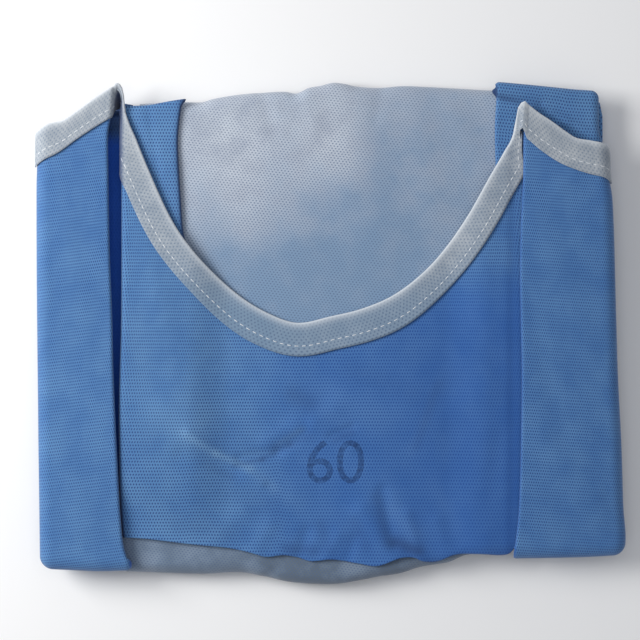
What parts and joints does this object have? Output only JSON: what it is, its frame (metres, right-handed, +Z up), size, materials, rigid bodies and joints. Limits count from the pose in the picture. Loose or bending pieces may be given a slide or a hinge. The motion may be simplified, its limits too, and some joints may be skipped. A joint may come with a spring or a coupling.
{
  "type": "folded surgical gown",
  "caption": "Blue non-woven surgical gown folded flat, scoop neck bound in pale tape, back panels opened out at both sides, pale reinforcement panel showing inside.",
  "frame": {"origin": "centre of the folded gown's box, at the surface that it lies on", "axes": "+Z up off the surface, +Y towards the neck's shoulder points, +X to the right as seen from above"},
  "size_m": [0.3431, 0.2941, 0.0272],
  "materials": {
    "blue_cloth": "matt blue embossed non-woven",
    "pale_cloth": "translucent pale blue-white non-woven",
    "pale_tape": "pale non-woven binding tape, lock-stitched"
  },
  "bodies": {
    "root": {"folded_layers": "blue_cloth", "reinforcement_panel": "pale_cloth", "sleeve_left": "blue_cloth", "sleeve_right": "blue_cloth", "front_panel": "blue_cloth", "back_panel_left": "blue_cloth", "back_panel_right": "blue_cloth", "neck_binding": "pale_tape"}
  },
  "joints": []
}
